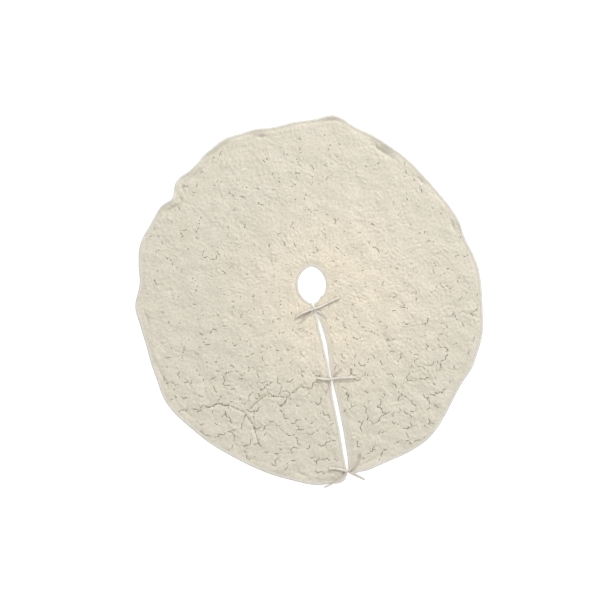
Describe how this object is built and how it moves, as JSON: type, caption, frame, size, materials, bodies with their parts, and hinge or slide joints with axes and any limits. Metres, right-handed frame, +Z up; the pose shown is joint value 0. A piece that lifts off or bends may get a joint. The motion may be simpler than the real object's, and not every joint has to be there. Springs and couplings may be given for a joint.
{
  "type": "tree skirt",
  "caption": "Round quilted cloth tree skirt with a trunk opening and a slit from it to the hem, bound all round and closed with tape bows; its front folds over its back.",
  "frame": {"origin": "on the floor under the centre of the outline", "axes": "+Z up through the cloth; the slit runs from the trunk opening towards -Y, which is the side that faces the room; +X is to the right seen from above with the slit nearest"},
  "size_m": [1.184, 1.2739, 0.017],
  "materials": {
    "face_cloth": "matte",
    "batting": "matte",
    "backing_cloth": "matte",
    "binding_tape": "satin",
    "tie_tape": "satin",
    "tack_thread": "satin",
    "quilting_thread": "satin"
  },
  "bodies": {
    "back_half": {"face_fabric_back": "face_cloth", "batting_back": "batting", "backing_fabric_back": "backing_cloth", "hem_binding_back": "binding_tape", "neck_binding_back": "binding_tape"},
    "front_half": {"face_fabric_left": "face_cloth", "face_fabric_right": "face_cloth", "batting_left": "batting", "batting_right": "batting", "backing_fabric_left": "backing_cloth", "backing_fabric_right": "backing_cloth", "hem_binding_left": "binding_tape", "hem_binding_right": "binding_tape", "slit_binding_left": "binding_tape", "slit_binding_right": "binding_tape", "neck_tie_left": "tie_tape", "neck_tie_right": "tie_tape", "middle_tie_left": "tie_tape", "middle_tie_right": "tie_tape", "hem_tie_left": "tie_tape", "hem_tie_right": "tie_tape", "neck_knot": "tie_tape", "middle_knot": "tie_tape", "hem_knot": "tie_tape", "tie_bar_tacks": "tack_thread"}
  },
  "joints": [
    {"name": "front_fold", "type": "hinge", "parent": "back_half", "child": "front_half", "pos_m": [0, 0, 0.016], "axis": [-1, 0, 0], "range_deg": [0, 178]}
  ]
}
